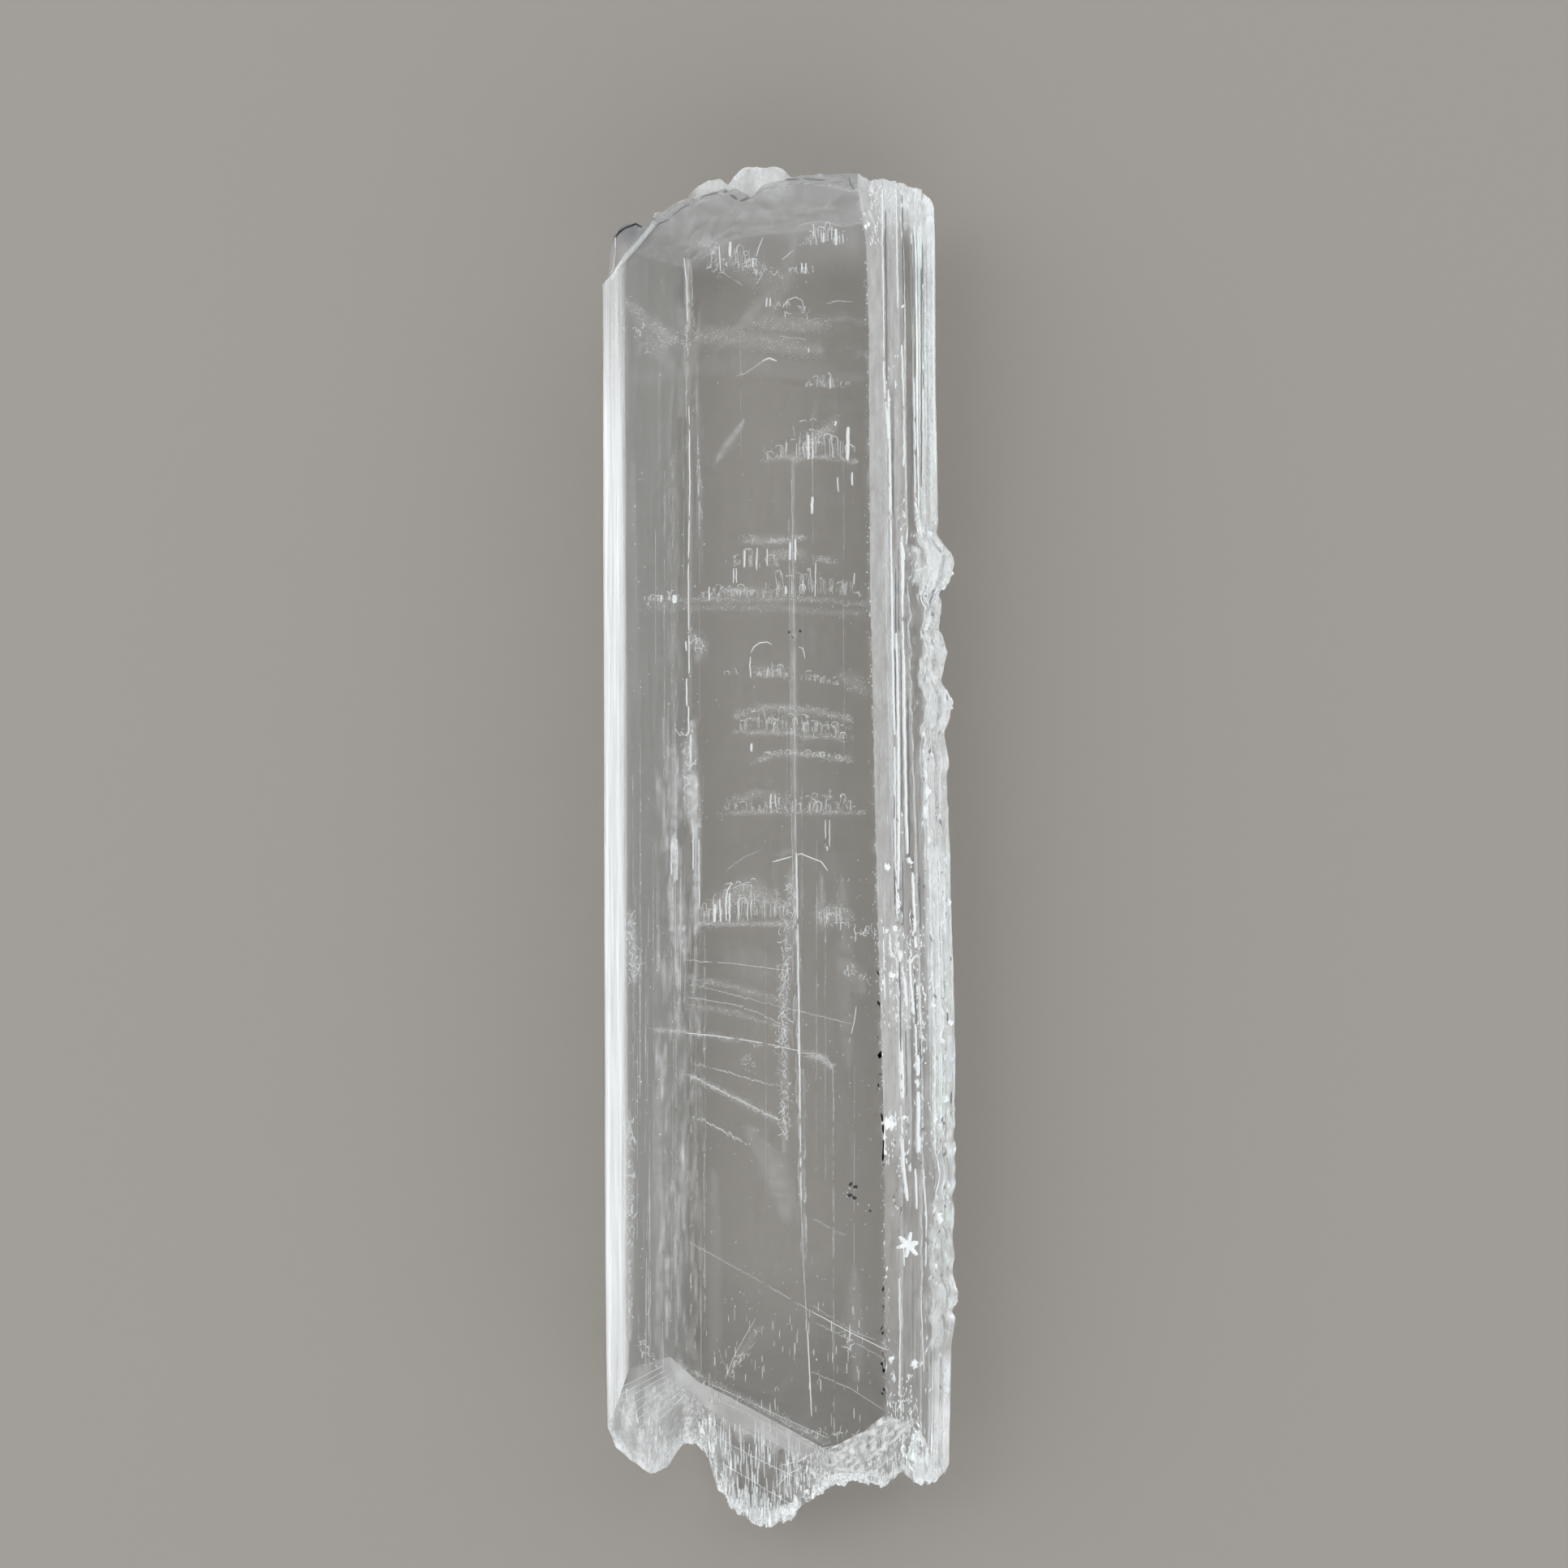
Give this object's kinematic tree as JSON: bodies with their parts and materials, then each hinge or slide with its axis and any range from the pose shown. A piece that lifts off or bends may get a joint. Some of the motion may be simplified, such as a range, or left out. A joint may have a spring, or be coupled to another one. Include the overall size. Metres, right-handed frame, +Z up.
{
  "type": "selenite crystal blade",
  "caption": "Long clear selenite blade with flat broad faces, a striated side, a broken tip and a fibrous lobed base, lying on its back face.",
  "frame": {"origin": "on the surface that the blade lies on, under the middle of its box", "axes": "+Y along the blade towards its broken tip, +X towards the stepped striated side, +Z up, out of the front face"},
  "size_m": [0.0261, 0.1002, 0.0114],
  "materials": {
    "clear_selenite": "clear polished cleavage faces, satin striated sides, frosted broken ends"
  },
  "bodies": {
    "root": {"selenite_blade": "clear_selenite"}
  },
  "joints": []
}
